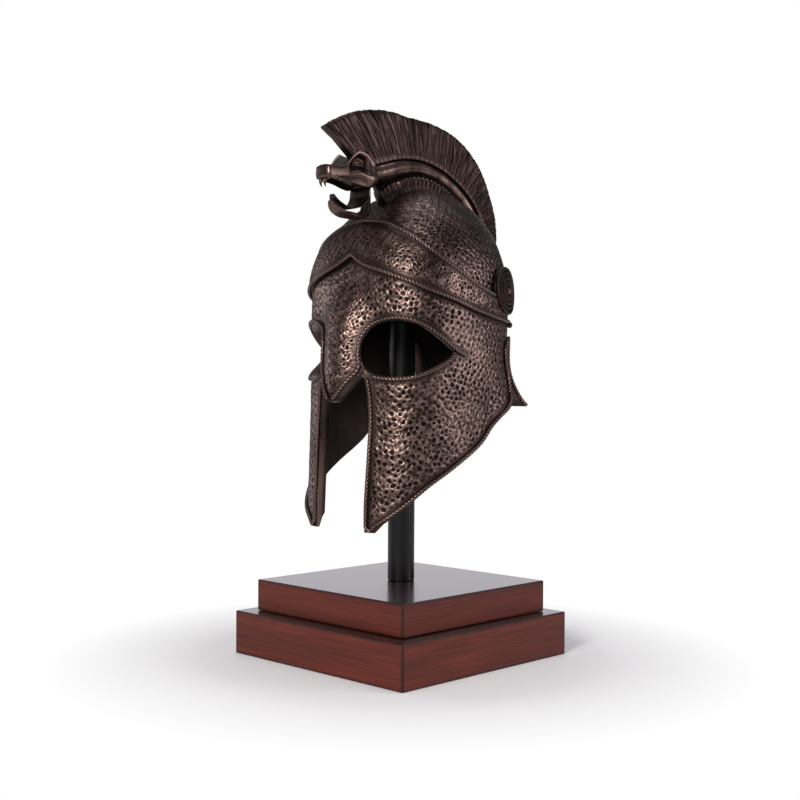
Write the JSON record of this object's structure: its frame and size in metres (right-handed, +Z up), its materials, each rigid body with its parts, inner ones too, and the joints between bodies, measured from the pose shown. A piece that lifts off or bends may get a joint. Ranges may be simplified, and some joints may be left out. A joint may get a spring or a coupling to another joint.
{
  "type": "greek bronze helmet on a display stand",
  "caption": "Greek bronze helmet with a serpent crest, open eyes, cheek pieces and neck guard, held on a round black post over a stepped wooden base.",
  "frame": {"origin": "centre of the base's underside", "axes": "+Z up along the post, -Y the way the helmet faces, +X towards the wearer's left"},
  "size_m": [0.23, 0.2563, 0.5306],
  "materials": {
    "hammered_bronze": "dark patinated bronze, hammered in small dimples with rubbed high spots",
    "chased_bronze": "dark patinated bronze with chased grooves",
    "polished_bronze": "smooth dark bronze, rubbed bright on the high spots",
    "black_steel": "satin black paint",
    "mahogany_wood": "red-brown gloss varnish"
  },
  "bodies": {
    "root": {"band_border_lower": "polished_bronze", "band_border_upper": "polished_bronze", "base_lower": "mahogany_wood", "base_upper": "mahogany_wood", "brow_band": "hammered_bronze", "cheek_border_left": "polished_bronze", "cheek_border_right": "polished_bronze", "crest_plume": "chased_bronze", "crest_ridge": "chased_bronze", "crest_strip": "chased_bronze", "eye_border_lower_left": "polished_bronze", "eye_border_lower_right": "polished_bronze", "eye_border_upper_left": "polished_bronze", "eye_border_upper_right": "polished_bronze", "helmet_shell": "hammered_bronze", "neck_border": "polished_bronze", "rosette_left": "polished_bronze", "rosette_right": "polished_bronze", "serpent_fang_left": "polished_bronze", "serpent_fang_right": "polished_bronze", "serpent_head": "polished_bronze", "serpent_jaw": "polished_bronze", "serpent_neck": "polished_bronze", "serpent_tongue": "polished_bronze", "side_knob_left": "polished_bronze", "side_knob_right": "polished_bronze", "stand_post": "black_steel"}
  },
  "joints": []
}
